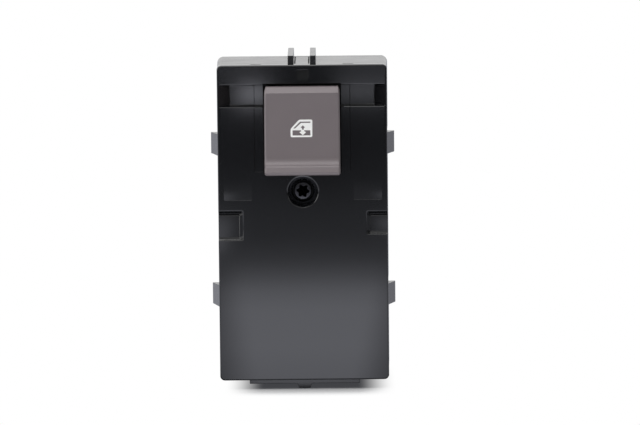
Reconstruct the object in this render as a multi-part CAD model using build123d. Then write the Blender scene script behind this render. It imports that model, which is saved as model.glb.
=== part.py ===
from build123d import *
import os

os.makedirs("parts", exist_ok=True)

# Lengths are in millimetres. The switch stands on its lower end: X runs across the face, Y from the
# face into the body, Z up. Depths count from the front of the face and heights from its lower edge,
# and the last lines move every piece from there onto the floor.

# Face plate
face_w = 50.0
face_h = 93.5
face_t = 2.0
face_corner_r = 1.4
face_edge_r = 0.5
cover_t = 1.2  # wall of the face moulding behind the plate
slip = 0.1  # gap between nested mouldings

# Housing tub
body_depth = 30.0
body_step = 0.1  # how far the tub stands in from the plate's edge
body_draft = 1.3  # degrees that its outer walls open towards the rear
body_corner_r = 1.3
body_edge = 0.5  # bevel round the tub's rear edge
wall = 1.6
deck_y = 7.0  # front of the wall inside the tub
deck_t = 1.5

# Channel behind the knob's upper end
channel_margin = 5.8  # plate left above the channel
channel_h = 6.55
channel_side = 0.5  # plate left at each end of the channel
channel_depth = 3.0
channel_end_slope = 1.05  # width lost at each end for each unit of depth
channel_draft = 0.12

# Knob
knob_w = 22.25
knob_h = 25.7
knob_under_channel_top = 0.5
knob_proud = 7.5  # finger lip in front of the face
knob_face_y = -5.0
knob_top_y = -3.5
knob_wall = 1.3
knob_front_t = 1.6
lip_h = 2.2
lip_lean = 0.5
knob_side_draft = 0.1
knob_top_inset = 0.5  # how far the sides lean in beside the top bevel
knob_top_h = 1.6
knob_edge = 0.45
pivot_y = 3.0
tilt = 9.0  # degrees each way
knob_gap = 0.2
knob_top_gap = 0.7

# Shallow recess round the knob
recess_half_w = 14.1
recess_over_knob_end = 0.5
recess_depth = 0.2
recess_well = 1.0  # wall of the well that the knob sinks into

# Pivot tower
tower_half_w = 9.2
tower_half_h = 8.5
tower_top_y = -0.5
tower_wall = 1.2
stud_r = 2.0
stud_l = 1.1
stud_gap = 0.05

# Pocket in the top bar and side pockets
pocket_x = 0.2
pocket_w = 3.4
pocket_margin = 1.5
pocket_h = 3.0
pocket_depth = 0.9
left_pocket = {"width": 6.2, "below_screw": 6.35, "height": 7.85}
right_pocket = {"width": 5.2, "below_screw": 6.7, "height": 6.0}
side_pocket_depth = 1.5
side_pocket_bevel = 0.9
side_pocket_ramp = 1.1  # run of the slope at the pocket's inner end
side_pocket_foot = 0.8  # strips at the floor's ends that lean back upwards
side_pocket_lean = 0.35
panel_side = 1.7  # plate left beside each panel
panel_w = 8.3
panel_h = 6.0
panel_drop = 2.4  # lower edge below the screw's axis
panel_depth = 0.1

# Screw under the knob
screw_under_knob = 5.5
screw_well_r = 4.5
screw_head_r = 2.85
screw_head_t = 1.9
screw_head_bevel = 0.6
screw_seat_y = 5.0
screw_r = 1.45
screw_l = 9.0
star_r = 1.55
star_depth = 1.3
head_gap = 0.35
thread_gap = 0.05
boss_wall = 1.8

# Snap hooks between face cover and tub
hook_x = 13.6
hook_w = 2.8
hook_y = 3.3
hook_t = 1.0
hook_reach = 1.2

# Lugs, ribs and feet outside the tub
lug_out = 2.3
lug_h = 6.3
lug_front = 5.0
lug_crest = 12.4
lug_back = 13.2
lug_seat_rise = 0.1  # flat strip behind each lug, measured from the tub's front edge
lug_from_bottom = 24.65
lug_from_top = 23.85
rib_x = 3.27
rib_w = 1.7
rib_h = 2.65
rib_rise = 0.4  # gained towards the rear
tongue_half_w = 1.95
tongue_front = 5.0
tongue_back = 27.5
tongue_slot = 0.25
foot_h = 2.7  # lower end of the face above the floor
pad_half_w = 16.3
pad_h = 1.3
tab_half_w = 2.15
tab_taper = 0.5
tab_back = 9.0
foot_x = 12.0
foot_w = 2.0
foot_front = 14.0

# Circuit board and its posts
board_y = 17.0
board_t = 1.6
board_side_gap = 1.7  # board's long edges to the tub
board_end_gap = 4.0
board_corner_r = 1.5
post_r = 2.8
post_inset = 4.0  # from the board's long edges
post_end_inset = 6.0
peg_r = 1.2
peg_gap = 0.1
board_screw_r = 1.2
board_screw_l = 6.0
small_head_r = 2.4
small_head_t = 1.5

# Rear cover, its posts and screws
rear_t = 2.0
rear_post_r = 3.2
rear_post_inset = 3.8  # from the inside of the tub
rear_screw_r = 1.4
rear_screw_l = 8.0
rear_screw_inset = 1.0
rear_rib_x = 10.0
rear_rib_w = 1.0
rear_rib_t = 0.8
rear_rib_margin = 5.0  # from the connector and from the cover's upper edge

# Connector
socket_z = 30.0
socket_w = 24.4
socket_h = 10.4
socket_wall = 1.2
socket_corner_r = 1.6
socket_front = 21.6
socket_proud = 4.0
key_w = 5.0
key_l = 4.5
pin_columns = 4
pin_rows = 2
pin_pitch_x = 4.6
pin_pitch_z = 3.4
pin_w = 1.5
pin_t = 0.8
pin_tip_y = 29.4
pin_tail = 0.9
header_margin = 1.6
header_gap = 0.1

# Contacts, carriage and its guide
lever_l = 11.0
lever_tip_r = 1.4
leg_half_x = 6.0
leg_t = 2.4
leg_h = 3.6
leg_neck_h = 1.8  # height inside the carriage
lever_plate_t = 1.2
lever_plate_half_w = 8.6
lever_plate_half_h = 6.0
slot_gap = 0.05
leg_gap = 0.15
carriage_half_w = 8.7
carriage_half_h = 6.4
carriage_front = 12.2
carriage_back = 15.8
guide_gap = 0.2
rail_t = 2.0
rail_front = 10.8
lip_t = 1.2
lip_reach = 1.0
spring_room = 4.4
end_wall_t = 1.4
spring_r = 1.6
spring_wire = 0.42  # square wire
spring_turns = 2.5
spring_seat_l = 0.9
contact_t = 0.3
contact_w = 2.4
contact_h = 2.8
contact_gap = 1.2
wiper_w = 1.4
wiper_t = 0.25
wiper_half_l = 5.6
wiper_bump_z = 2.6
wiper_air = 0.05

# Light
guide_half_w = 3.0
guide_half_h = 2.4
guide_top_y = -1.9
guide_foot_t = 0.8
led_half = 1.7
led_t = 1.1
led_air = 0.2
lens_half_w = 3.9
lens_half_h = 3.0
lens_t = 0.7
resistor_w = 3.2
resistor_h = 1.6
resistor_t = 0.6
resistor_inset = 9.5  # from the board's edge
resistor_drop = 14.4  # below the knob's pivot
resistor_pitch = 3.6
resistor_count = 3

# Places worked out from the sizes above
channel_high = face_h - channel_margin
channel_low = channel_high - channel_h
channel_half_w = face_w / 2 - channel_side
knob_high = channel_high - knob_under_channel_top
knob_low = knob_high - knob_h
pivot_z = (knob_low + knob_high) / 2
recess_low = knob_low + recess_over_knob_end
pocket_high = face_h - pocket_margin
screw_z = knob_low - screw_under_knob
panel_low = screw_z - panel_drop
panel_outer = face_w / 2 - panel_side
lug_heights = (lug_from_bottom, face_h - lug_from_top)
body_half_w = face_w / 2 - body_step
inner_half_w = body_half_w - wall
body_bottom = body_step
body_top = face_h - body_step
inner_bottom = body_bottom + wall
inner_top = body_top - wall
deck_back = deck_y + deck_t
board_back = board_y + board_t
board_half_w = inner_half_w - board_side_gap
board_low = inner_bottom + board_end_gap
board_high = inner_top - board_end_gap
post_x = board_half_w - post_inset
post_low = board_low + post_end_inset
post_high = board_high - post_end_inset
rear_post_x = inner_half_w - rear_post_inset
rear_post_z = face_h / 2
rear_y = body_depth - rear_t
socket_back = body_depth + socket_proud
skirt_end = deck_y - slip
knob_half_w = knob_w / 2
cavity_half_w = knob_half_w - knob_wall
ceiling_y = knob_face_y + knob_front_t
opening_half_w = knob_half_w + knob_gap
opening_low = knob_low - knob_gap
opening_high = knob_high + knob_top_gap
carriage_end = carriage_half_h + spring_room
pin_tail_y = board_y - pin_tail


def block(x, y, z):
    # A box between two values on each axis.
    size = [b - a for a, b in (x, y, z)]
    middle = [(a + b) / 2 for a, b in (x, y, z)]
    return Pos(*middle) * Box(*size)


def centred(half):
    return (-half, half)


def slab(outline, y0, y1):
    # A sketch drawn in width and height, made solid between two depths.
    return extrude(Plane.XZ.offset(-y0) * outline, -(y1 - y0))


def rod(x, z, r, y0, y1):
    # A round bar that runs along the depth.
    return Pos(x, (y0 + y1) / 2, z) * Rot(90, 0, 0) * Cylinder(r, y1 - y0)


def funnel(x, z, front_r, back_r, y0, y1):
    return Pos(x, (y0 + y1) / 2, z) * Rot(90, 0, 0) * Cone(back_r, front_r, y1 - y0)


def across(profile, half_w):
    # A side profile drawn in depth and height, made solid to both sides of the middle.
    return extrude(Plane.YZ * profile, half_w, both=True)


def face_outline(inset, r):
    return Pos(0, face_h / 2) * RectangleRounded(face_w - 2 * inset, face_h - 2 * inset, r)


def body_outline(inset):
    return face_outline(body_step + inset, max(body_corner_r - inset, 0.4))


def skirt_outline(inset):
    return face_outline(body_step + wall + slip + inset, 0.4)


def channel_cut():
    middle = (channel_low + channel_high) / 2
    height = channel_high - channel_low
    front = Pos(0, middle) * Rectangle(2 * channel_half_w, height)
    end_loss = channel_end_slope * channel_depth
    height_loss = channel_draft * channel_depth
    back = Pos(0, middle) * Rectangle(2 * (channel_half_w - end_loss), height - 2 * height_loss)
    return loft([Plane.XZ * front, Plane.XZ.offset(-channel_depth) * back])


def wedge_cut(x, deep_z, flat_z, depth):
    # A shallow pocket whose floor rises from its deep end to nothing at the other.
    reach = flat_z + (flat_z - deep_z) / depth
    outline = Polyline((-1, deep_z), (depth, deep_z), (-1, reach), close=True)
    return Pos(sum(x) / 2) * across(make_face(outline), (x[1] - x[0]) / 2)


def pocket_span(spec):
    high = screw_z - spec["below_screw"]
    return high - spec["height"], high


def side_pocket_cut(side, spec):
    # A pocket open at the plate's edge: its floor leans at both ends, its upper and inner walls slope.
    low, high = pocket_span(spec)
    edge = face_w / 2 + 1
    depths = Polyline(
        (-1, low), (side_pocket_depth - side_pocket_lean, low), (side_pocket_depth, low + side_pocket_foot),
        (side_pocket_depth, high - side_pocket_foot), (side_pocket_depth + side_pocket_lean, high),
        (side_pocket_bevel, high), (0, high + side_pocket_bevel), (-1, high + side_pocket_bevel), close=True,
    )
    along = Plane.YZ * make_face(depths)
    leaning = extrude(along, edge) if side > 0 else extrude(along, -edge)
    inner = face_w / 2 - spec["width"]
    deepest = side_pocket_depth + side_pocket_lean
    widths = Polyline(
        (side * edge, -1), (side * edge, deepest), (side * inner, deepest), (side * inner, side_pocket_depth),
        (side * (inner - side_pocket_ramp), 0), (side * (inner - side_pocket_ramp), -1), close=True,
    )
    return leaning & extrude(make_face(widths), face_h)


def screw_well():
    throat_r = screw_head_r + head_gap
    throat_y = screw_seat_y - screw_head_t
    return [
        funnel(0, screw_z, screw_well_r, throat_r, 0, throat_y),
        rod(0, screw_z, throat_r, throat_y, screw_seat_y),
        rod(0, screw_z, screw_r + head_gap, screw_seat_y, skirt_end + 1),
    ]


def hooks():
    # Small catches on the skirt's upper and lower walls.
    y = (hook_y, hook_y + hook_t)
    found = []
    for side in (-1, 1):
        x = (side * hook_x - hook_w / 2, side * hook_x + hook_w / 2)
        found.append(block(x, y, (inner_top - slip - cover_t / 2, inner_top + hook_reach - slip)))
        found.append(block(x, y, (inner_bottom - hook_reach + slip, inner_bottom + slip + cover_t / 2)))
    return found


def face_cover():
    plate = slab(face_outline(0, face_corner_r), 0, face_t)
    front = plate.faces().sort_by(Axis.Y)[0]
    plate = fillet(front.outer_wire().edges(), face_edge_r)
    tray_half_w = inner_half_w - slip
    tray = block(centred(tray_half_w), (face_t / 2, channel_depth + cover_t + recess_depth),
                 (channel_low - cover_t, channel_high + cover_t))
    skirt = slab(skirt_outline(0), face_t / 2, skirt_end) - slab(skirt_outline(cover_t), face_t / 2, skirt_end)
    well_x = centred(opening_half_w + recess_well)
    well = block(well_x, (face_t / 2, skirt_end), (opening_low - recess_well, opening_high + recess_well))
    screw_boss = rod(0, screw_z, screw_well_r + cover_t, face_t / 2, skirt_end)
    body = plate + [tray, skirt, well, screw_boss]
    for side, spec in ((-1, left_pocket), (1, right_pocket)):
        low, high = pocket_span(spec)
        inner = face_w / 2 - spec["width"] - side_pocket_ramp - cover_t
        x = sorted((side * inner, side * tray_half_w))
        body += block(x, (face_t / 2, face_t + cover_t / 2), (low - cover_t, high + side_pocket_bevel + cover_t))
        panel_x = sorted((side * (panel_outer - panel_w), side * panel_outer))
        body -= wedge_cut(panel_x, panel_low, panel_low + panel_h, panel_depth)
        body -= side_pocket_cut(side, spec)
    body += hooks()
    recess_x = centred(recess_half_w)
    body -= block(recess_x, (-1, recess_depth), (recess_low, channel_low + recess_depth))
    body -= channel_cut()
    channel_rise = channel_draft * channel_depth
    body -= block(recess_x, (channel_depth / 2, channel_depth + recess_depth),
                  (channel_low + channel_rise, channel_high - channel_rise))
    body -= block(centred(opening_half_w), (-1, skirt_end + 1), (opening_low, opening_high))
    pocket_sides = (pocket_x - pocket_w / 2, pocket_x + pocket_w / 2)
    body -= wedge_cut(pocket_sides, pocket_high, pocket_high - pocket_h, pocket_depth)
    for cut in screw_well():
        body -= cut
    return body


def lug(side, z):
    foot = side * (body_half_w - wall / 2)
    crest = side * (body_half_w + lug_out)
    skin = side * body_half_w
    outline = Polyline(
        (foot, lug_front), (skin, lug_front), (crest, lug_crest), (crest, lug_back), (foot, lug_back),
        close=True,
    )
    return Pos(0, 0, z - lug_h / 2) * extrude(make_face(outline), lug_h)


def lug_seat(side, z):
    # Keeps the wall behind a lug flat, so that a panel's edge can lie there.
    x = sorted((side * (body_half_w + lug_seat_rise), side * (body_half_w + lug_out)))
    return block(x, (lug_back, body_depth + 1), (z - lug_h / 2, z + lug_h / 2))


def middle_tab():
    # Tapered tab under the lower end, right behind the face plate.
    outline = Polyline(
        (-tab_half_w, body_bottom + wall / 2), (tab_half_w, body_bottom + wall / 2),
        (tab_half_w, -pad_h), (tab_half_w - tab_taper, -foot_h),
        (-tab_half_w + tab_taper, -foot_h), (-tab_half_w, -pad_h), close=True,
    )
    return slab(make_face(outline), face_t + slip, tab_back)


def outside_features():
    top = body_top - wall / 2
    bottom = body_bottom + wall / 2
    found = [middle_tab(), block(centred(pad_half_w), (face_t + slip, body_depth), (-pad_h, bottom))]
    for side in (-1, 1):
        rib = Polyline(
            (face_t + slip, top), (body_depth, top), (body_depth, body_top + rib_h + rib_rise),
            (face_t + slip, body_top + rib_h), close=True,
        )
        found.append(Pos(side * rib_x) * across(make_face(rib), rib_w / 2))
        foot = (side * foot_x - foot_w / 2, side * foot_x + foot_w / 2)
        found.append(block(foot, (foot_front, body_depth), (-foot_h, bottom)))
        found += [lug(side, z) for z in lug_heights]
    return found


def tongue_slots():
    z = (inner_top - 1, body_top + 1)
    slot_x = (tongue_half_w, tongue_half_w + tongue_slot)
    found = [block(centred(slot_x[1]), (tongue_back - tongue_slot, tongue_back), z)]
    for side in (-1, 1):
        found.append(block(sorted((side * slot_x[0], side * slot_x[1])), (tongue_front, tongue_back), z))
    return found


def hook_windows():
    x_half = hook_w / 2 + slip
    y = (hook_y - slip, hook_y + hook_t + slip)
    found = []
    for side in (-1, 1):
        x = (side * hook_x - x_half, side * hook_x + x_half)
        found.append(block(x, y, (inner_top - slip, body_top + slip)))
        found.append(block(x, y, (-pad_h - slip, inner_bottom + slip)))
    return found


def tower():
    z = (pivot_z - tower_half_h, pivot_z + tower_half_h)
    body = block(centred(tower_half_w), (tower_top_y, deck_y + deck_t / 2), z)
    studs = Pos(0, pivot_y, pivot_z) * Rot(0, 90, 0) * Cylinder(stud_r, 2 * (tower_half_w + stud_l))
    return body + studs


def tower_bore():
    z = (pivot_z - tower_half_h + tower_wall, pivot_z + tower_half_h - tower_wall)
    return block(centred(tower_half_w - tower_wall), (tower_top_y - 1, deck_back + 1), z)


def board_post_places():
    # The first two take screws, the others are locating pegs.
    return [(-post_x, post_high), (post_x, post_low), (post_x, post_high), (-post_x, post_low)]


def switch_housing():
    body = extrude(Plane.XZ.offset(-face_t) * body_outline(0), face_t - body_depth, taper=-body_draft)
    body = chamfer(body.faces().sort_by(Axis.Y)[-1].outer_wire().edges(), body_edge)
    body -= slab(body_outline(wall), face_t, body_depth)
    deck = slab(body_outline(wall / 2), deck_y, deck_back)
    boss = rod(0, screw_z, screw_r + boss_wall, deck_back, screw_seat_y + screw_l + 1)
    body += [deck, boss, tower()] + outside_features()
    for number, (x, z) in enumerate(board_post_places()):
        body += rod(x, z, post_r, deck_y + deck_t / 2, board_y)
        if number > 1:
            body += rod(x, z, peg_r, board_y - 1, board_back)
        else:
            end = board_back - board_screw_l
            body -= rod(x, z, board_screw_r + thread_gap, end - 1, board_y)
    for side in (-1, 1):
        x = side * rear_post_x
        web = block(sorted((x, side * (body_half_w - wall / 2))), (deck_back - deck_t / 2, rear_y),
                    (rear_post_z - wall / 2, rear_post_z + wall / 2))
        body += [rod(x, rear_post_z, rear_post_r, deck_back - deck_t / 2, rear_y), web]
        screw_end = body_depth - rear_screw_inset - rear_screw_l
        body -= rod(x, rear_post_z, rear_screw_r + thread_gap, screw_end - 1, rear_y)
    body -= tower_bore()
    body -= rod(0, screw_z, screw_r + thread_gap, deck_y - 1, screw_seat_y + screw_l + thread_gap)
    lug_seats = [lug_seat(side, z) for side in (-1, 1) for z in lug_heights]
    for cut in tongue_slots() + hook_windows() + lug_seats:
        body -= cut
    return body


def socket_outline(inset):
    return Pos(0, socket_z) * RectangleRounded(
        socket_w - 2 * inset, socket_h - 2 * inset, max(socket_corner_r - inset, 0.4))


def pin_places():
    # Pins stand in rows across the connector.
    found = []
    for column in range(pin_columns):
        for row in range(pin_rows):
            x = (column - (pin_columns - 1) / 2) * pin_pitch_x
            z = socket_z + (row - (pin_rows - 1) / 2) * pin_pitch_z
            found.append((x, z))
    return found


def pin_holes(y0, y1, gap):
    half_w = pin_w / 2 + gap
    half_t = pin_t / 2 + gap
    return [block((x - half_w, x + half_w), (y0, y1), (z - half_t, z + half_t)) for x, z in pin_places()]


def rear_cover():
    plate = slab(body_outline(wall + slip), rear_y, body_depth)
    shroud = slab(socket_outline(0), socket_front, socket_back)
    body = plate + shroud
    body -= slab(socket_outline(socket_wall), socket_front + socket_wall, socket_back)
    for hole in pin_holes(socket_front - 1, socket_front + socket_wall + 1, peg_gap):
        body -= hole
    key_top = socket_z + socket_h / 2
    body -= block(centred(key_w / 2), (socket_back - key_l, socket_back + 1),
                  (key_top - socket_wall - 1, key_top + 1))
    rib_z = (key_top + rear_rib_margin, inner_top - rear_rib_margin)
    for side in (-1, 1):
        rib = sorted((side * (rear_rib_x - rear_rib_w / 2), side * (rear_rib_x + rear_rib_w / 2)))
        body += block(rib, (rear_y + rear_t / 2, body_depth + rear_rib_t), rib_z)
        x = side * rear_post_x
        body -= rod(x, rear_post_z, rear_screw_r + head_gap, rear_y - 1, body_depth)
        body -= rod(x, rear_post_z, small_head_r + head_gap, body_depth - rear_screw_inset, body_depth + 1)
    return body


def circuit_board():
    middle = (board_low + board_high) / 2
    outline = Pos(0, middle) * RectangleRounded(2 * board_half_w, board_high - board_low, board_corner_r)
    body = slab(outline, board_y, board_back)
    for number, (x, z) in enumerate(board_post_places()):
        r = peg_r + peg_gap if number > 1 else board_screw_r + head_gap
        body -= rod(x, z, r, board_y - 1, board_back + 1)
    notch_r = rear_post_r + head_gap
    for side in (-1, 1):
        notch_x = sorted((side * (rear_post_x - notch_r), side * (board_half_w + 1)))
        body -= block(notch_x, (board_y - 1, board_back + 1), (rear_post_z - notch_r, rear_post_z + notch_r))
    for hole in pin_holes(board_y - 1, board_back + 1, slip):
        body -= hole
    return body


def pin_header():
    half_w = (pin_columns - 1) / 2 * pin_pitch_x + pin_w / 2 + header_margin
    half_h = (pin_rows - 1) / 2 * pin_pitch_z + pin_t / 2 + header_margin
    body = block(centred(half_w), (board_back, socket_front - header_gap),
                 (socket_z - half_h, socket_z + half_h))
    for hole in pin_holes(board_back - 1, socket_front + 1, slip / 2):
        body -= hole
    return body


def terminal_pins():
    return Part() + pin_holes(pin_tail_y, pin_tip_y, 0)


def star_recess(depth):
    # Six rounded lobes round a core.
    core_r = star_r * 0.72
    lobes = [Rot(0, 0, 60 * n) * Pos(core_r, 0) * Circle(star_r - core_r) for n in range(6)]
    star = Circle(core_r) + lobes
    return extrude(star, depth)


def round_screw(head_r, head_t, shank_r, length):
    # Head above the seat plane, shank below it.
    head = Pos(0, 0, head_t / 2) * Cylinder(head_r, head_t)
    return head + Pos(0, 0, -length / 2) * Cylinder(shank_r, length)


def cover_screw():
    screw = round_screw(screw_head_r, screw_head_t, screw_r, screw_l)
    screw = chamfer(screw.edges().group_by(Axis.Z)[-1], screw_head_bevel)
    screw -= Pos(0, 0, screw_head_t - star_depth) * star_recess(star_depth + 1)
    return Pos(0, screw_seat_y, screw_z) * Rot(90, 0, 0) * screw


def driven_from_behind(x, z, seat_y, shank_r, length):
    return Pos(x, seat_y, z) * Rot(-90, 0, 0) * round_screw(small_head_r, small_head_t, shank_r, length)


def board_screws():
    return Part() + [
        driven_from_behind(x, z, board_back, board_screw_r, board_screw_l)
        for x, z in board_post_places()[:2]
    ]


def rear_screws():
    seat = body_depth - rear_screw_inset
    return Part() + [
        driven_from_behind(side * rear_post_x, rear_post_z, seat, rear_screw_r, rear_screw_l)
        for side in (-1, 1)
    ]


def contact_places():
    pitch = contact_h + contact_gap
    return [(side * leg_half_x, pivot_z + row * pitch) for side in (-1, 1) for row in (-1, 0, 1)]


def fixed_contacts():
    y = (board_y - contact_t, board_y)
    return Part() + [
        block((x - contact_w / 2, x + contact_w / 2), y, (z - contact_h / 2, z + contact_h / 2))
        for x, z in contact_places()
    ]


def contact_guide():
    # Frame on the board: two rails with lips over the carriage, and an end wall for each spring.
    rail_in = carriage_half_w + guide_gap
    rail_out = rail_in + rail_t
    end_out = carriage_end + end_wall_t
    z = (pivot_z - end_out, pivot_z + end_out)
    body = block(centred(rail_out), (rail_front, board_y), z)
    body -= block(centred(rail_in), (rail_front + lip_t, board_y + 1),
                  (pivot_z - carriage_end, pivot_z + carriage_end))
    body -= block(centred(rail_in - lip_reach), (rail_front - 1, board_y + 1),
                  (pivot_z - carriage_end, pivot_z + carriage_end))
    return body


def carriage_window():
    half_h = guide_half_h + lever_travel() + 0.5
    return block(centred(guide_half_w + 0.8), (carriage_front - 1, carriage_back + 1),
                 (pivot_z - half_h, pivot_z + half_h))


def lever_travel():
    return lever_l * tilt * 3.14159 / 180


def spring_axis_y():
    return (carriage_front + carriage_back) / 2


def contact_carriage():
    body = block(centred(carriage_half_w), (carriage_front, carriage_back),
                 (pivot_z - carriage_half_h, pivot_z + carriage_half_h))
    body -= carriage_window()
    slot_x = leg_t / 2 + leg_gap
    slot_z = lever_tip_r + slot_gap
    for side in (-1, 1):
        x = side * leg_half_x
        body -= block((x - slot_x, x + slot_x), (carriage_front - 1, carriage_back + 1),
                      (pivot_z - slot_z, pivot_z + slot_z))
        seat = Pos(0, spring_axis_y(), pivot_z + side * (carriage_half_h + spring_seat_l / 2))
        body += seat * Cylinder(spring_r - spring_wire - 2 * slip, spring_seat_l)
    return body


def wiper():
    # Flat strip under the carriage with two rounded contact bumps.
    flat = carriage_back
    low = board_y - contact_t - wiper_air
    bump = wiper_bump_z
    rise = (low - flat) * 0.9
    outer = Polyline(
        (flat, -wiper_half_l), (flat, -bump - rise), (low - wiper_t, -bump), (flat, -bump + rise),
        (flat, bump - rise), (low - wiper_t, bump), (flat, bump + rise), (flat, wiper_half_l),
        (flat + wiper_t, wiper_half_l), (flat + wiper_t, bump + rise), (low, bump),
        (flat + wiper_t, bump - rise), (flat + wiper_t, -bump + rise), (low, -bump),
        (flat + wiper_t, -bump - rise), (flat + wiper_t, -wiper_half_l), close=True,
    )
    return across(make_face(outer), wiper_w / 2)


def wiper_contacts():
    return Part() + [Pos(side * leg_half_x, 0, pivot_z) * wiper() for side in (-1, 1)]


def return_spring(side):
    pitch = (spring_room - spring_wire) / spring_turns
    path = Helix(pitch, pitch * spring_turns, spring_r - spring_wire / 2)
    start = Plane(origin=path @ 0, z_dir=path % 0)
    coil = sweep(start * Rectangle(spring_wire, spring_wire), path=path, is_frenet=True)
    low = pivot_z + carriage_half_h if side > 0 else pivot_z - carriage_end
    return Pos(0, spring_axis_y(), low + spring_wire / 2) * coil


def knob_profile():
    crest = knob_low + lip_h
    back = pivot_y + 0.2
    lip_y = -knob_proud
    outline = [
        Polyline((back, knob_low + 0.8), (knob_face_y + 1.4, knob_low + 0.8), (lip_y + 1.2, knob_low)),
        ThreePointArc((lip_y + 1.2, knob_low), (lip_y + 0.3, knob_low + 0.3), (lip_y, knob_low + 1.0)),
        Line((lip_y, knob_low + 1.0), (lip_y + lip_lean, crest)),
        ThreePointArc((lip_y + lip_lean, crest), (lip_y + lip_lean + 0.3, crest + 0.5), (lip_y + 1.4, crest + 0.8)),
        ThreePointArc((lip_y + 1.4, crest + 0.8), (lip_y + 2.05, crest + 1.5), (knob_face_y, crest + 3.2)),
        ThreePointArc((knob_face_y, crest + 3.2), (knob_face_y + 0.25, pivot_z + 1.5),
                      (knob_face_y - 0.15, knob_high - knob_top_h)),
        Line((knob_face_y - 0.15, knob_high - knob_top_h), (knob_top_y, knob_high - 0.3)),
        Polyline((knob_top_y, knob_high - 0.3), (knob_top_y + 0.5, knob_high), (back, knob_high),
                 (back, knob_low + 0.8)),
    ]
    return make_face(Curve() + outline)


def knob_front_outline():
    # Seen from the front the sides lean in towards the top.
    top = knob_half_w - knob_side_draft
    outline = Polyline(
        (-knob_half_w, knob_low - 1), (knob_half_w, knob_low - 1), (top, knob_high + 1),
        (-top, knob_high + 1), close=True,
    )
    return make_face(outline)


def knob_corner(side):
    # Takes off the cap's side where it leans in beside the top bevel.
    outline = Polyline(
        (side * knob_half_w, knob_high - knob_top_h), (side * (knob_half_w + 1), knob_high - knob_top_h),
        (side * (knob_half_w + 1), knob_high + 1), (side * (knob_half_w - knob_top_inset), knob_high + 1),
        (side * (knob_half_w - knob_top_inset), knob_high), close=True,
    )
    return slab(make_face(outline), -knob_proud, pivot_y + 1)


def cap_skirt():
    # Side walls reach deepest at the pivot and rise towards both ends to clear the deck.
    deep = pivot_y + stud_r + 0.6
    half = stud_r + 3.0
    outline = Polyline(
        (pivot_y - 1, knob_low + 1.6), (pivot_y + 0.2, knob_low + 1.6), (deep, pivot_z - half),
        (deep, pivot_z + half), (pivot_y + 0.2, knob_high - 1.6), (pivot_y - 1, knob_high - 1.6),
        close=True,
    )
    return across(make_face(outline), knob_half_w - knob_side_draft)


def knob_cap():
    body = across(knob_profile(), knob_half_w + 1) & slab(knob_front_outline(), -knob_proud - 1, pivot_y + 1)
    sides = body.edges().filter_by(lambda e: e.center().Y < knob_top_y and abs(e.center().X) > cavity_half_w)
    body = chamfer(sides, knob_edge) + cap_skirt() - [knob_corner(side) for side in (-1, 1)]
    cavity_low = knob_low + lip_h + 0.2
    cavity_high = knob_high - 1.5
    body -= block(centred(cavity_half_w), (ceiling_y, deck_y + 1), (cavity_low, cavity_high))
    body -= Pos(0, pivot_y, pivot_z) * Rot(0, 90, 0) * Cylinder(stud_r + stud_gap, knob_w + 2)
    return body


def lens_window(gap):
    return block(centred(lens_half_w + gap), (ceiling_y - 1, ceiling_y + lever_plate_t + 1),
                 (pivot_z - lens_half_h - gap, pivot_z + lens_half_h + gap))


def lever_leg():
    # Leg that narrows to a neck before its round tip.
    root_y = ceiling_y + lever_plate_t / 2
    tip_y = pivot_y + lever_l
    neck_y = carriage_front - lever_tip_r
    shape = Polyline(
        (root_y, -leg_h / 2), (deck_y, -leg_h / 2), (neck_y, -leg_neck_h / 2), (tip_y, -leg_neck_h / 2),
        (tip_y, leg_neck_h / 2), (neck_y, leg_neck_h / 2), (deck_y, leg_h / 2), (root_y, leg_h / 2), close=True,
    )
    tip = Plane.YZ * Pos(tip_y, 0) * Circle(lever_tip_r)
    return across(make_face(shape), leg_t / 2) + extrude(tip, leg_t / 2, both=True)


def knob_lever():
    body = block(centred(lever_plate_half_w), (ceiling_y, ceiling_y + lever_plate_t),
                 (pivot_z - lever_plate_half_h, pivot_z + lever_plate_half_h))
    body -= lens_window(slip / 2)
    return body + [Pos(side * leg_half_x, 0, pivot_z) * lever_leg() for side in (-1, 1)]


def icon_lens():
    return block(centred(lens_half_w), (ceiling_y, ceiling_y + lens_t),
                 (pivot_z - lens_half_h, pivot_z + lens_half_h))


def light_guide():
    foot_y = board_y - led_t - led_air
    z = (pivot_z - guide_half_h, pivot_z + guide_half_h)
    body = block(centred(guide_half_w), (guide_top_y, foot_y), z)
    for side in (-1, 1):
        x = sorted((side * (guide_half_w - guide_foot_t), side * guide_half_w))
        body += block(x, (foot_y - 1, board_y), z)
    return body


def backlight_led():
    return block(centred(led_half), (board_y - led_t, board_y), (pivot_z - led_half, pivot_z + led_half))


def board_resistors():
    y = (board_back, board_back + resistor_t)
    x = board_half_w - resistor_inset
    found = []
    for number in range(resistor_count):
        z = pivot_z - resistor_drop + number * resistor_pitch
        found.append(block((x, x + resistor_w), y, (z, z + resistor_h)))
    return Part() + found


pieces = {
    "face_cover": face_cover(),
    "switch_housing": switch_housing(),
    "rear_cover": rear_cover(),
    "rear_screws": rear_screws(),
    "cover_screw": cover_screw(),
    "circuit_board": circuit_board(),
    "board_screws": board_screws(),
    "board_resistors": board_resistors(),
    "backlight_led": backlight_led(),
    "light_guide": light_guide(),
    "pin_header": pin_header(),
    "terminal_pins": terminal_pins(),
    "fixed_contacts": fixed_contacts(),
    "contact_guide": contact_guide(),
    "contact_carriage": contact_carriage(),
    "wiper_contacts": wiper_contacts(),
    "return_spring_upper": return_spring(1),
    "return_spring_lower": return_spring(-1),
    "knob_cap": knob_cap(),
    "knob_lever": knob_lever(),
    "icon_lens": icon_lens(),
}

# The origin lies on the floor under the middle of the whole depth.
on_floor = Pos(0, -(socket_back - knob_proud) / 2, foot_h)
for name, piece in pieces.items():
    export_step(on_floor * piece, f"parts/{name}.step")
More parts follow.
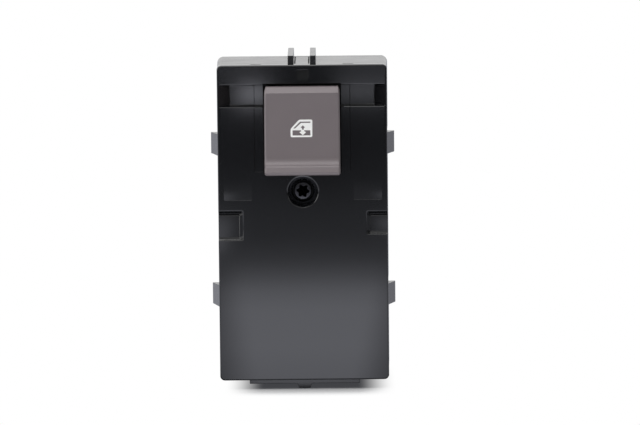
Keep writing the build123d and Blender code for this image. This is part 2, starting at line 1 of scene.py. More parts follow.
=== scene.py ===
import bpy
import bmesh
import math
from mathutils import Matrix, Vector
from mathutils.bvhtree import BVHTree
from mathutils.geometry import delaunay_2d_cdt, intersect_point_line, tessellate_polygon


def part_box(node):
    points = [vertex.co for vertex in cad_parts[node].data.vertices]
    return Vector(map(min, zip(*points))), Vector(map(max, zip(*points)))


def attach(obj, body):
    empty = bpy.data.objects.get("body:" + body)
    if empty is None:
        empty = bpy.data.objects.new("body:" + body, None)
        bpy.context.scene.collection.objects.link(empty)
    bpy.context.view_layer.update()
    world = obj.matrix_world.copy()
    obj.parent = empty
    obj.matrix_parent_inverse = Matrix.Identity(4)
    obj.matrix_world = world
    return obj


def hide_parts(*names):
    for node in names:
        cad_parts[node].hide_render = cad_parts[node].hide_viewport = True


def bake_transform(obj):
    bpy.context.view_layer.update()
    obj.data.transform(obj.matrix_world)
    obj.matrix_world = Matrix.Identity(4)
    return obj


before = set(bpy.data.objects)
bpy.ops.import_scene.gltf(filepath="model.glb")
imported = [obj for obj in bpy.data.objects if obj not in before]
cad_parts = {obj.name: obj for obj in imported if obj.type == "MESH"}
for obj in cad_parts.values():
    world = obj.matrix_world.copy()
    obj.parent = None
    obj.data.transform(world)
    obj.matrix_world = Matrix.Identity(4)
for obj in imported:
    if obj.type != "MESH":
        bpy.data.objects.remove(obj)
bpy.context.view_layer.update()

mm = 0.001  # lengths below are written in millimetres
scene = bpy.context.scene
scene.view_settings.view_transform = "Standard"


def setInputs(tree, node, values):
    # A socket is linked, and a plain value is written on the input itself.
    for key, value in values.items():
        if isinstance(value, bpy.types.NodeSocket):
            tree.links.new(value, node.inputs[key])
        else:
            node.inputs[key].default_value = value


def addNode(tree, kind, inputs=None, settings=None):
    node = tree.nodes.new(kind)
    for key, value in (settings or {}).items():
        setattr(node, key, value)
    setInputs(tree, node, inputs or {})
    return node


def mathNode(tree, operation, a, b=0.0, clamp=False):
    node = addNode(tree, "ShaderNodeMath", {0: a, 1: b}, {"operation": operation, "use_clamp": clamp})
    return node.outputs[0]


def times(tree, a, b):
    return mathNode(tree, "MULTIPLY", a, b)


def mixColors(tree, factor, a, b):
    # Sockets 0, 6 and 7 are the factor and the two colours, and output 2 is the mixed colour.
    node = addNode(tree, "ShaderNodeMix", {0: factor, 6: a, 7: b}, {"data_type": "RGBA"})
    return node.outputs[2]


def mapRange(tree, value, fromMin, fromMax, toMin, toMax):
    node = addNode(tree, "ShaderNodeMapRange", {
        "Value": value, "From Min": fromMin, "From Max": fromMax, "To Min": toMin, "To Max": toMax},
        {"interpolation_type": "SMOOTHSTEP"})
    return node.outputs["Result"]


def noise(tree, vector, size, detail, roughness=0.5):
    # Its grains have a size in millimetres.
    scale = mathNode(tree, "DIVIDE", 1 / mm, size)
    node = addNode(tree, "ShaderNodeTexNoise", {
        "Vector": vector, "Scale": scale, "Detail": detail, "Roughness": roughness})
    return node.outputs["Fac"]


def rgba(color):
    return (*color, 1.0)


def newGroup(name, inputs, outputs, kind="ShaderNodeTree"):
    # A node group with named sockets, ready for its nodes. An input may have a value of its own.
    tree = bpy.data.node_groups.new(name, kind)
    for label, sort, *value in inputs:
        socket = tree.interface.new_socket(label, in_out="INPUT", socket_type="NodeSocket" + sort)
        if value:
            socket.default_value = value[0]
    for label, sort in outputs:
        tree.interface.new_socket(label, in_out="OUTPUT", socket_type="NodeSocket" + sort)
    return tree, tree.nodes.new("NodeGroupInput"), tree.nodes.new("NodeGroupOutput")


def newMaterial(name):
    material = bpy.data.materials.new(name)
    material.use_nodes = True
    tree = material.node_tree
    coords = addNode(tree, "ShaderNodeTexCoord").outputs["Object"]
    return material, tree, tree.nodes["Principled BSDF"], coords


def useGroup(tree, group, inputs):
    return addNode(tree, "ShaderNodeGroup", inputs, {"node_tree": group})


def buildMouldedSkin():
    # Grain of a moulding tool: a fine height and a slow drift of tone.
    tree, entry, result = newGroup("mouldedSkin", [
        ("Vector", "Vector"), ("Grain Size", "Float", 0.12), ("Drift Size", "Float", 12.0)],
        [("Height", "Float"), ("Drift", "Float")])
    vector, grainSize, driftSize = list(entry.outputs)[:3]
    setInputs(tree, result, {
        "Height": noise(tree, vector, grainSize, 2.0, 0.6), "Drift": noise(tree, vector, driftSize, 3.0)})
    return tree


def buildFineDust():
    # Sparse pale specks that settle on dark plastic. Most cells stay empty.
    emptyShare = 0.6
    tree, entry, result = newGroup("fineDust", [
        ("Vector", "Vector"), ("Spacing", "Float", 2.0), ("Speck Size", "Float", 0.05)], [("Mask", "Float")])
    vector, spacing, speckSize = list(entry.outputs)[:3]
    scale = mathNode(tree, "DIVIDE", 1 / mm, spacing)
    cells = addNode(tree, "ShaderNodeTexVoronoi", {"Vector": vector, "Scale": scale, "Randomness": 1.0})
    share = mathNode(tree, "DIVIDE", speckSize, spacing)
    near = mathNode(tree, "LESS_THAN", cells.outputs["Distance"], share)
    chance = addNode(tree, "ShaderNodeSeparateColor", {"Color": cells.outputs["Color"]}).outputs[0]
    kept = mathNode(tree, "GREATER_THAN", chance, emptyShare)
    setInputs(tree, result, {"Mask": times(tree, near, kept)})
    return tree


def buildBrushedTone():
    # Streaks along one axis, for drawn or turned metal.
    tree, entry, result = newGroup("brushedTone", [
        ("Vector", "Vector"), ("Stretch", "Vector", (1, 1, 1)), ("Streak Size", "Float", 0.2)],
        [("Tone", "Float")])
    vector, stretch, streakSize = list(entry.outputs)[:3]
    stretched = addNode(tree, "ShaderNodeVectorMath", {0: vector, 1: stretch}, {"operation": "MULTIPLY"})
    setInputs(tree, result, {"Tone": noise(tree, stretched.outputs[0], streakSize, 3.0)})
    return tree


mouldedSkin = buildMouldedSkin()
fineDust = buildFineDust()
brushedTone = buildBrushedTone()
print("shared effects built")


mouldingSpread = {
    "tones": (0.2, 0.8), "roughness": (0.9, 1.1), "dustColor": (0.30, 0.30, 0.31), "dustRoughness": 0.4,
    "speckSize": 0.05}
plainMoulding = {"drift": 0.04, "ior": 1.5, "grainDepth": 0.01, "dust": 0.0, "dustSpacing": 3.0}


def mouldedPlastic(name, changes):
    # One recipe for every moulded piece, with its own colour, gloss, grain and dust.
    look = {**plainMoulding, **changes}
    material, tree, shader, coords = newMaterial(name)
    skin = useGroup(tree, mouldedSkin, {
        "Vector": coords, "Grain Size": look["grainSize"], "Drift Size": look["driftSize"]})
    dust = useGroup(tree, fineDust, {
        "Vector": coords, "Spacing": look["dustSpacing"], "Speck Size": mouldingSpread["speckSize"]})
    darker = tuple(channel * (1 - look["drift"]) for channel in look["color"])
    lighter = tuple(channel * (1 + look["drift"]) for channel in look["color"])
    tone = mixColors(tree, skin.outputs["Drift"], rgba(darker), rgba(lighter))
    dusty = times(tree, dust.outputs["Mask"], look["dust"])
    levels = [look["roughness"] * share for share in mouldingSpread["roughness"]]
    rough = mapRange(tree, skin.outputs["Drift"], *mouldingSpread["tones"], *levels)
    dull = times(tree, dusty, mouldingSpread["dustRoughness"])
    bump = addNode(tree, "ShaderNodeBump", {
        "Height": skin.outputs["Height"], "Strength": look["grain"], "Distance": look["grainDepth"] * mm})
    setInputs(tree, shader, {
        "Base Color": mixColors(tree, dusty, tone, rgba(mouldingSpread["dustColor"])),
        "Roughness": mathNode(tree, "ADD", rough, dull, clamp=True),
        "Normal": bump.outputs["Normal"], "IOR": look["ior"]})
    return material


metalSpread = {"darkest": 0.82, "tones": (0.3, 0.7), "roughness": (0.8, 1.25)}


def plainMetal(name, look):
    material, tree, shader, coords = newMaterial(name)
    streaks = useGroup(tree, brushedTone, {
        "Vector": coords, "Stretch": look["stretch"], "Streak Size": look["streakSize"]})
    darker = tuple(channel * metalSpread["darkest"] for channel in look["color"])
    levels = [look["roughness"] * share for share in metalSpread["roughness"]]
    setInputs(tree, shader, {
        "Base Color": mixColors(tree, streaks.outputs["Tone"], rgba(darker), rgba(look["color"])),
        "Roughness": mapRange(tree, streaks.outputs["Tone"], *metalSpread["tones"], *levels),
        "Metallic": 1.0})
    return material


glossBlack = mouldedPlastic("glossBlack", {
    "color": (0.0052, 0.0056, 0.0066), "drift": 0.12, "roughness": 0.06, "grainSize": 9.0, "grain": 0.02,
    "grainDepth": 0.02, "driftSize": 14.0, "dust": 0.35, "dustSpacing": 2.6})
satinBlack = mouldedPlastic("satinBlack", {
    "color": (0.016, 0.0165, 0.0175), "drift": 0.15, "roughness": 0.22, "ior": 1.47, "grainSize": 0.18,
    "grain": 0.12, "grainDepth": 0.02, "driftSize": 10.0, "dust": 0.25})
knobGrey = mouldedPlastic("knobGrey", {
    "color": (0.153, 0.131, 0.137), "roughness": 0.42, "ior": 1.47, "grainSize": 0.09, "grain": 0.12,
    "grainDepth": 0.012, "driftSize": 9.0, "dust": 0.2, "dustSpacing": 2.8})
naturalPlastic = mouldedPlastic("naturalPlastic", {
    "color": (0.62, 0.60, 0.54), "roughness": 0.42, "grainSize": 0.12, "grain": 0.08, "driftSize": 6.0})
chipBlack = mouldedPlastic("chipBlack", {
    "color": (0.02, 0.02, 0.021), "drift": 0.1, "roughness": 0.5, "grainSize": 0.08, "grain": 0.1,
    "driftSize": 3.0})
printWhite = mouldedPlastic("printWhite", {
    "color": (0.86, 0.86, 0.85), "drift": 0.01, "roughness": 0.45, "grainSize": 0.1, "grain": 0.03,
    "grainDepth": 0.005, "driftSize": 5.0})
blackSteel = plainMetal("blackSteel", {
    "color": (0.05, 0.05, 0.055), "roughness": 0.28, "stretch": (1, 8, 1), "streakSize": 0.3})
zincSteel = plainMetal("zincSteel", {
    "color": (0.62, 0.63, 0.66), "roughness": 0.30, "stretch": (1, 6, 1), "streakSize": 0.3})
tinnedMetal = plainMetal("tinnedMetal", {
    "color": (0.78, 0.77, 0.74), "roughness": 0.24, "stretch": (1, 0.2, 1), "streakSize": 0.15})
contactMetal = plainMetal("contactMetal", {
    "color": (0.80, 0.52, 0.30), "roughness": 0.27, "stretch": (0.2, 1, 1), "streakSize": 0.2})
springSteel = plainMetal("springSteel", {
    "color": (0.56, 0.57, 0.59), "roughness": 0.25, "stretch": (1, 1, 4), "streakSize": 0.2})


def buildClearPlastic():
    look = {"color": (0.93, 0.95, 0.95), "drift": (0.86, 0.90, 0.91), "grainSize": 0.4, "driftSize": 3.0,
            "roughness": 0.08, "ior": 1.49, "clear": 0.85}
    material, tree, shader, coords = newMaterial("clearPlastic")
    skin = useGroup(tree, mouldedSkin, {
        "Vector": coords, "Grain Size": look["grainSize"], "Drift Size": look["driftSize"]})
    setInputs(tree, shader, {
        "Base Color": mixColors(tree, skin.outputs["Drift"], rgba(look["color"]), rgba(look["drift"])),
        "Roughness": look["roughness"], "IOR": look["ior"], "Transmission Weight": look["clear"]})
    return material


def buildLampWhite():
    # White lamp body with a round yellow window.
    look = {"body": (0.80, 0.79, 0.72), "window": (0.85, 0.70, 0.16), "windowShare": 0.36,
            "clearShare": 0.92, "roughness": 0.35}
    material, tree, shader, coords = newMaterial("lampWhite")
    low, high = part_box("backlight_led")
    middle = (low + high) / 2
    radius = (high.x - low.x) * look["windowShare"]
    offset = addNode(tree, "ShaderNodeVectorMath", {0: coords, 1: middle}, {"operation": "SUBTRACT"})
    flat = addNode(tree, "ShaderNodeVectorMath", {0: offset.outputs[0], 1: (1, 0, 1)},
                   {"operation": "MULTIPLY"})
    reach = addNode(tree, "ShaderNodeVectorMath", {0: flat.outputs[0]}, {"operation": "LENGTH"})
    inside = mapRange(tree, reach.outputs["Value"], radius * look["clearShare"], radius, 1.0, 0.0)
    setInputs(tree, shader, {
        "Base Color": mixColors(tree, inside, rgba(look["body"]), rgba(look["window"])),
        "Roughness": look["roughness"]})
    return material


def buildBoardLaminate():
    # Green solder mask over copper tracks that show as a slightly lighter green.
    look = {"mask": (0.010, 0.085, 0.040), "track": (0.020, 0.140, 0.065), "edge": (0.42, 0.38, 0.22),
            "trackPitch": 2.4, "trackBorder": (0.25, 0.35), "jogScale": 60.0, "jogSteps": 9,
            "roughness": 0.28}
    material, tree, shader, coords = newMaterial("boardLaminate")
    place = addNode(tree, "ShaderNodeSeparateXYZ", {0: coords})
    pitch = look["trackPitch"] * mm
    jog = addNode(tree, "ShaderNodeTexNoise", {"Vector": coords, "Scale": look["jogScale"], "Detail": 0.0})
    steps = mathNode(tree, "ROUND", times(tree, jog.outputs["Fac"], look["jogSteps"]))
    along = mathNode(tree, "ADD", place.outputs["X"], times(tree, steps, pitch))
    wave = mathNode(tree, "PINGPONG", along, pitch / 2)
    trackEdge, gapEdge = (border * mm for border in look["trackBorder"])
    track = mapRange(tree, wave, trackEdge, gapEdge, 1.0, 0.0)
    green = mixColors(tree, track, rgba(look["mask"]), rgba(look["track"]))
    normal = addNode(tree, "ShaderNodeNewGeometry").outputs["Normal"]
    facing = mathNode(tree, "ABSOLUTE", addNode(tree, "ShaderNodeSeparateXYZ", {0: normal}).outputs["Y"])
    setInputs(tree, shader, {
        "Base Color": mixColors(tree, facing, rgba(look["edge"]), green), "Roughness": look["roughness"]})
    return material


clearPlastic = buildClearPlastic()
lampWhite = buildLampWhite()
boardLaminate = buildBoardLaminate()
print("finishes built")


def addObject(name, data):
    made = bpy.data.objects.new(name, data)
    scene.collection.objects.link(made)
    return made


def meshOf(shape, name):
    mesh = bpy.data.meshes.new(name)
    shape.to_mesh(mesh)
    shape.free()
    return mesh


def cleanMesh(node, flatAngle=0.1, joinReach=1e-6):
    # The CAD mesh with its loose triangles joined and its flat faces made whole.
    shape = bmesh.new()
    shape.from_mesh(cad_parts[node].data)
    bmesh.ops.remove_doubles(shape, verts=shape.verts, dist=joinReach)
    angle = math.radians(flatAngle)
    bmesh.ops.dissolve_limit(shape, angle_limit=angle, verts=shape.verts, edges=shape.edges)
    return meshOf(shape, node + "Mesh")


def addPiece(name, mesh, material, body, nodes=()):
    piece = addObject(name, mesh)
    mesh.materials.clear()
    mesh.materials.append(material)
    if nodes:
        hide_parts(*nodes)
    if body:
        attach(piece, body)
    return piece


def freeRoom(edge, face, probes=(0.2, 0.5, 0.8), sideways=0.5):
    # Distance from an edge to what stands beside it in one of its faces. What lies further along the edge
    # than to its side doesn't count.
    start, end = (vert.co for vert in edge.verts)
    along = (end - start).normalized()
    room = 1.0
    for share in probes:
        point = start.lerp(end, share)
        for other in face.edges:
            if other == edge:
                continue
            first, last = (vert.co for vert in other.verts)
            _, reach = intersect_point_line(point, first, last)
            away = first.lerp(last, min(1.0, max(0.0, reach))) - point
            if away.length < room and abs(away.normalized().dot(along)) < sideways:
                room = away.length
    return room


def spreadFrom(seed, neighboursOf):
    # The seed and all that can be reached from it, in a steady order.
    found, queue = {seed: None}, [seed]
    while queue:
        for other in neighboursOf(queue.pop()):
            if other not in found:
                found[other] = None
                queue.append(other)
    return found


def isInside(point, segments):
    # A point lies inside when a line from it crosses the outline an odd number of times.
    crossings = 0
    for start, end in segments:
        if (start.y > point.y) != (end.y > point.y):
            at = start.x + (point.y - start.y) * (end.x - start.x) / (end.y - start.y)
            crossings += at > point.x
    return crossings % 2 == 1


sameFlat = 0.99999  # cosine between the normals of faces that lie in one plane


def refillFlat(shape, flat):
    # Fills the outline of a flat group of faces anew.
    normal = max(flat, key=lambda face: face.calc_area()).normal.copy()
    edges = dict.fromkeys(edge for face in flat for edge in face.edges)
    outline = [edge for edge in edges if sum(other in flat for other in edge.link_faces) == 1]
    verts = list(dict.fromkeys(vert for edge in outline for vert in edge.verts))
    places = {vert: index for index, vert in enumerate(verts)}
    base = verts[0].co.copy()
    across = normal.orthogonal().normalized()
    upward = normal.cross(across)
    offsets = [(vert.co - base) / mm for vert in verts]
    points = [Vector((offset.dot(across), offset.dot(upward))) for offset in offsets]
    pairs = [tuple(places[vert] for vert in edge.verts) for edge in outline]
    segments = [(points[start], points[end]) for start, end in pairs]
    triangulated, joinReach = 1, 1e-5
    coords, _, faces, sources, _, _ = delaunay_2d_cdt(points, pairs, [], triangulated, joinReach)
    corners = [verts[source[0]] if source else
               shape.verts.new(base + (across * coord.x + upward * coord.y) * mm)
               for coord, source in zip(coords, sources)]
    bmesh.ops.delete(shape, geom=list(flat), context="FACES_ONLY")
    for face in faces:
        middle = sum((coords[index] for index in face), Vector((0, 0))) / len(face)
        loop = [corners[index] for index in face]
        if isInside(middle, segments) and len(set(loop)) == len(loop) and not shape.faces.get(loop):
            turn = (loop[1].co - loop[0].co).cross(loop[2].co - loop[0].co).dot(normal)
            shape.faces.new(loop if turn > 0 else reversed(loop))


def mendFlats(mesh, spareArea=1e-8):
    # A large flat face with holes can cross itself where its edges were rounded. Its triangles then cover
    # more than its area, and it is filled anew.
    mesh.calc_loop_triangles()
    filled = [0.0] * len(mesh.polygons)
    for triangle in mesh.loop_triangles:
        filled[triangle.polygon_index] += triangle.area
    shape = bmesh.new()
    shape.from_mesh(mesh)
    shape.faces.ensure_lookup_table()
    broken = [shape.faces[face.index] for face in mesh.polygons
              if face.material_index == 0 and filled[face.index] > face.area + spareArea]
    for seed in broken:
        if seed.is_valid:
            normal = seed.normal.copy()
            refillFlat(shape, spreadFrom(seed, lambda face: [
                other for edge in face.edges for other in edge.link_faces
                if other.material_index == 0 and abs(other.normal.dot(normal)) > sameFlat]))
    loose = [edge for edge in shape.edges if not edge.link_faces]
    bmesh.ops.delete(shape, geom=loose, context="EDGES")
    shape.to_mesh(mesh)
    shape.free()


def flatAreas(mesh, radiusFaces):
    # For each face the whole area of the flat surface it belongs to.
    faces = mesh.polygons
    beside = {}
    for face in faces:
        if face.index not in radiusFaces:
            for key in face.edge_keys:
                beside.setdefault(key, []).append(face.index)
    neighbours = [[] for _ in faces]
    for pair in beside.values():
        if len(pair) == 2 and faces[pair[0]].normal.dot(faces[pair[1]].normal) > sameFlat:
            neighbours[pair[0]].append(pair[1])
            neighbours[pair[1]].append(pair[0])
    areas = [None] * len(faces)
    for face in faces:
        if areas[face.index] is None:
            flat = spreadFrom(face.index, neighbours.__getitem__)
            whole = sum(faces[index].area for index in flat)
            for index in flat:
                areas[index] = whole
    return areas


def shadeSurfaces(mesh, radiusFaces, curveAngle=20, tangentAngle=11, largeRatio=8):
    # Facets of a curve blend, and so does a curve with the large flat face it runs into. Other faces stay
    # true, and the radii between them blend from one to the other.
    faces = mesh.polygons
    normals = [face.normal.copy() for face in faces]
    areas = flatAreas(mesh, radiusFaces)
    around = [[] for _ in mesh.vertices]
    for face in faces:
        for vertex in face.vertices:
            around[vertex].append(face.index)
    curveLimit, tangentLimit = (math.cos(math.radians(angle)) for angle in (curveAngle, tangentAngle))

    def plainNormal(vertex, index):
        total = Vector()
        for other in around[vertex]:
            ratio = areas[other] / max(areas[index], 1e-12)
            limit = curveLimit if 1 / largeRatio < ratio < largeRatio else tangentLimit
            if other not in radiusFaces and normals[other].dot(normals[index]) > limit:
                total += normals[other] * areas[other] ** 2
        return total.normalized() if total.length_squared > 0 else normals[index]

    corners = [None] * len(mesh.loops)
    for face in faces:
        for loop in face.loop_indices:
            vertex = mesh.loops[loop].vertex_index
            plain = [other for other in around[vertex] if other not in radiusFaces]
            if face.index not in radiusFaces:
                corners[loop] = plainNormal(vertex, face.index)
            elif plain:
                nearest = max(plain, key=lambda other: normals[other].dot(face.normal))
                corners[loop] = plainNormal(vertex, nearest)
            else:
                corners[loop] = sum((normals[other] for other in around[vertex]), Vector()).normalized()
    mesh.shade_smooth()
    mesh.normals_split_custom_set(corners)


def liesOnRim(edge, rim, reach=0.1 * mm):
    return all(abs(vert.co.y - rim["y"]) < reach
               and abs(math.hypot(vert.co.x - rim["x"], vert.co.z - rim["z"]) - rim["radius"]) < reach
               for vert in edge.verts)


def roundEdges(piece, width, segments=2, sharpAngle=35, roomShare=0.4, rims=()):
    # Every real edge of a moulding has a small radius, which catches the light. It gets smaller where there
    # is little room beside it, and larger on the given round rims.
    widest = max([width] + [rim["width"] for rim in rims])
    shape = bmesh.new()
    shape.from_mesh(piece.data)
    weights = shape.edges.layers.float.new("bevel_weight_edge")
    for edge in shape.edges:
        edge.smooth = True
        if len(edge.link_faces) == 2 and math.degrees(edge.calc_face_angle(0.0)) > sharpAngle:
            room = min(freeRoom(edge, face) for face in edge.link_faces)
            reach = max([width] + [rim["width"] for rim in rims if liesOnRim(edge, rim)])
            edge[weights] = min(reach, roomShare * room / mm) / widest
    shape.to_mesh(piece.data)
    shape.free()
    finish = piece.data.materials[0]
    piece.data.materials.append(finish)
    bevel = piece.modifiers.new("Edge Radius", "BEVEL")
    bevel.width = widest * mm
    bevel.segments = segments
    bevel.limit_method = "WEIGHT"
    bevel.use_clamp_overlap = False
    bevel.miter_outer = "MITER_ARC"
    bevel.material = 1
    seen = piece.evaluated_get(bpy.context.evaluated_depsgraph_get())
    mesh = bpy.data.meshes.new_from_object(seen)
    piece.modifiers.clear()
    mendFlats(mesh)
    radiusFaces = {face.index for face in mesh.polygons if face.material_index == 1}
    for face in mesh.polygons:
        face.material_index = 0
    mesh.materials.clear()
    mesh.materials.append(finish)
    mesh.name = piece.data.name
    piece.data = mesh
    shadeSurfaces(mesh, radiusFaces)


# Each row: node, name of the finished piece, finish, slot of the record, body, edge radius in millimetres.
mouldings = [
    ("face_cover", "facePlate", glossBlack, "gloss_black", "housing", 0.2),
    ("switch_housing", "switchHousing", satinBlack, "satin_black", "housing", 0.14),
    ("rear_cover", "rearCover", satinBlack, "satin_black", "housing", 0.12),
    ("knob_cap", "knobCap", knobGrey, "knob_grey", "knob", 0.16),
    ("knob_lever", "knobLever", naturalPlastic, "natural_plastic", "knob", 0.1),
    ("icon_lens", "iconLens", printWhite, "lamp_white", "knob", 0.06),
    ("light_guide", "lightGuide", clearPlastic, "clear_plastic", "housing", 0.1),
    ("contact_guide", "contactGuide", naturalPlastic, "natural_plastic", "housing", 0.08),
    ("contact_carriage", "contactCarriage", naturalPlastic, "natural_plastic", "carriage", 0.08),
    ("wiper_contacts", "wiperContacts", contactMetal, "contact_metal", "carriage", 0.03),
    ("fixed_contacts", "fixedContacts", contactMetal, "contact_metal", "housing", 0.05),
    ("circuit_board", "circuitBoard", boardLaminate, "board_laminate", "housing", 0.04),
    ("pin_header", "pinHeader", chipBlack, "chip_black", "housing", 0.08),
    ("backlight_led", "backlightLamp", lampWhite, "lamp_white", "housing", 0.08),
]
screwLow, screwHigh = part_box("cover_screw")
screwWell = {"x": (screwLow.x + screwHigh.x) / 2, "y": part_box("face_cover")[0].y,
             "z": (screwLow.z + screwHigh.z) / 2, "radius": 4.5 * mm, "width": 0.4}
for node, name, material, slot, body, radius in mouldings:
    piece = addPiece(name, cleanMesh(node), material, body, (node,))
    roundEdges(piece, radius, rims=[screwWell] if node == "face_cover" else ())
print("mouldings dressed")


def dressResult(tree, last, entry, result):
    # Real geometry in the given finish is what a tree hands out.
    real = addNode(tree, "GeometryNodeRealizeInstances", {0: last.outputs[0]})
    dressed = addNode(tree, "GeometryNodeSetMaterial", {
        "Geometry": real.outputs[0], "Material": entry.outputs["Finish"]})
    setInputs(tree, result, {0: dressed.outputs[0]})


def buildPlacedCopies():
    # One part set on every point of a mesh, each turned by a random amount about the depth axis.
    tree, entry, result = newGroup("placedCopies", [
        ("Places", "Geometry"), ("Part", "Object"), ("Spin", "Float"), ("Seed", "Int"),
        ("Finish", "Material")], [("Copies", "Geometry")], "GeometryNodeTree")
    part = addNode(tree, "GeometryNodeObjectInfo", {"Object": entry.outputs["Part"], "As Instance": True})
    amount = addNode(tree, "FunctionNodeRandomValue", {
        "Seed": entry.outputs["Seed"]}, {"data_type": "FLOAT"})
    turn = times(tree, amount.outputs[1], entry.outputs["Spin"])
    axis = addNode(tree, "ShaderNodeCombineXYZ", {"Y": turn})
    copies = addNode(tree, "GeometryNodeInstanceOnPoints", {
        "Points": entry.outputs["Places"], "Instance": part.outputs["Geometry"],
        "Rotation": axis.outputs[0]})
    dressResult(tree, copies, entry, result)
    return tree


def buildCoilSpring():
    # Round wire wound along Z, with its end turns lying close together.
    tree, entry, result = newGroup("coilSpring", [
        ("Turns", "Float", 4.0), ("Radius", "Float", 0.001), ("Wire", "Float", 0.0004),
        ("Length", "Float", 0.004), ("Closed Share", "Float", 0.2), ("Finish", "Material")],
        [("Spring", "Geometry")], "GeometryNodeTree")
    coil = addNode(tree, "GeometryNodeCurveSpiral", {
        "Resolution": 32, "Rotations": entry.outputs["Turns"], "Start Radius": entry.outputs["Radius"],
        "End Radius": entry.outputs["Radius"], "Height": 0.0})
    along = addNode(tree, "GeometryNodeSplineParameter").outputs["Factor"]
    high = mathNode(tree, "SUBTRACT", 1.0, entry.outputs["Closed Share"])
    rise = mapRange(tree, along, entry.outputs["Closed Share"], high, 0.0, 1.0)
    # The end turns climb by two wires in all, and half a wire lies beyond each end of the wire's middle line.
    wire = entry.outputs["Wire"]
    closedHeight = times(tree, wire, times(tree, along, 2.0))
    openRoom = mathNode(tree, "SUBTRACT", entry.outputs["Length"], times(tree, wire, 3.0))
    climb = mathNode(tree, "ADD", closedHeight, times(tree, rise, openRoom))
    halfWire = times(tree, wire, 0.5)
    lift = addNode(tree, "ShaderNodeCombineXYZ", {"Z": mathNode(tree, "ADD", climb, halfWire)}).outputs[0]
    placed = addNode(tree, "GeometryNodeSetPosition", {"Geometry": coil.outputs[0], "Offset": lift})
    ring = addNode(tree, "GeometryNodeCurvePrimitiveCircle", {"Resolution": 12, "Radius": halfWire})
    tube = addNode(tree, "GeometryNodeCurveToMesh", {
        "Curve": placed.outputs[0], "Profile Curve": ring.outputs[0], "Fill Caps": True})
    dressResult(tree, tube, entry, result)
    return tree


def grownMesh(name, tree, values, places=((0, 0, 0),)):
    # Runs a tree on a mesh of points and gives back the plain mesh that it makes.
    points = bpy.data.meshes.new(name + "Points")
    points.from_pydata([Vector(place) for place in places], [], [])
    holder = addObject(name + "Holder", points)
    modifier = holder.modifiers.new(tree.name, "NODES")
    modifier.node_group = tree
    for item in tree.interface.items_tree:
        if item.in_out == "INPUT" and item.name in values:
            modifier[item.identifier] = values[item.name]
    grown = holder.evaluated_get(bpy.context.evaluated_depsgraph_get())
    mesh = bpy.data.meshes.new_from_object(grown)
    bpy.data.objects.remove(holder)
    return mesh


placedCopies = buildPlacedCopies()
coilSpring = buildCoilSpring()


def shadeFinely(piece, angle):
    piece.data.shade_smooth()
    piece.data.set_sharp_from_angle(angle=math.radians(angle))
    return piece


def addCopies(name, source, places, finish, nodes, spin=0.0, seed=0, shadeAngle=32):
    # The same part on each of its places, as one piece of the housing.
    part = addObject(name + "Part", source)
    values = {"Part": part, "Spin": spin, "Seed": seed, "Finish": finish}
    mesh = grownMesh(name, placedCopies, values, places)
    bpy.data.objects.remove(part)
    shadeFinely(addPiece(name, mesh, finish, "housing", nodes), shadeAngle)


def circle(count):
    return [2 * math.pi * index / count for index in range(count)]


def ringMesh(name, rings):
    # Closed rings of the same count, joined one to the next and closed at both ends.
    shape = bmesh.new()
    loops = [[shape.verts.new(point) for point in ring] for ring in rings]
    for before, after in zip(loops, loops[1:]):
        for index in range(len(before)):
            shape.faces.new((before[index - 1], before[index], after[index], after[index - 1]))
    for loop in (loops[0], loops[-1]):
        middle = sum((vert.co for vert in loop), Vector()) / len(loop)
        hub = shape.verts.new(middle)
        for index in range(len(loop)):
            shape.faces.new((loop[index - 1], loop[index], hub))
    bmesh.ops.recalc_face_normals(shape, faces=shape.faces)
    return meshOf(shape, name)


def headRows(look):
    # Radius and height from the bottom of the star recess to the foot of the head.
    star, floor, top = look["starRadius"], look["headThick"] - look["starDepth"], look["headThick"]
    radius, bend = look["headRadius"], look["headRound"]

    def starRow(grow, height):
        return lambda angle: star * (0.84 + 0.16 * math.cos(6 * angle)) * grow, height

    rows = [(lambda angle: star * 0.02, floor - star * 0.9), starRow(0.86, floor),
            starRow(0.9, top - star * 0.1), starRow(1.02, top)]
    for share in (0.0, 0.3, 0.6, 0.85, 1.0):
        turn = share * math.pi / 2
        reach = radius - bend + bend * math.sin(turn)
        rows.append((lambda angle, reach=reach: reach, top - look["headRise"] * (1 - math.cos(turn))))
    foot = look["footBevel"]
    return rows + [(lambda angle: radius, foot), (lambda angle: radius - foot, 0.0)]


def threadRows(look, rowsPerTurn=7, crestSlope=3.2, tipShare=0.25):
    # Radius and height down the shank, with one thread crest for each pitch.
    shank, pitch, length = look["shankRadius"], look["pitch"], look["length"]
    core = shank - look["threadDepth"]
    steps = int(length / pitch * rowsPerTurn)
    rows = []
    for step in range(steps + 1):
        down = length * step / steps
        tip = min(1.0, (length - down) / look["tip"] + tipShare)

        def threadAt(angle, down=down, tip=tip):
            phase = (down / pitch - angle / (2 * math.pi)) % 1.0
            crest = max(0.0, 1.0 - abs(phase - 0.5) * crestSlope)
            return (core + (shank - core) * crest) * tip
        rows.append((threadAt, -down - 0.01))
    return rows


def screwMesh(name, look):
    # The seat lies at zero.
    rings = []
    for radius, height in headRows(look) + threadRows(look):
        y = look["facing"] * height * mm
        rings.append([(radius(turn) * math.cos(turn) * mm, y, radius(turn) * math.sin(turn) * mm)
                      for turn in circle(60)])
    return ringMesh(name, rings)


def boxRing(halfX, halfZ, corner, y):
    x, z = halfX - corner, halfZ - corner
    corners = [(x, halfZ), (halfX, z), (halfX, -z), (x, -halfZ),
               (-x, -halfZ), (-halfX, -z), (-halfX, z), (-x, halfZ)]
    return [(x * mm, y * mm, z * mm) for x, z in corners]


def diskRing(radius, y):
    return [(radius * mm * math.cos(turn), y * mm, radius * mm * math.sin(turn)) for turn in circle(32)]


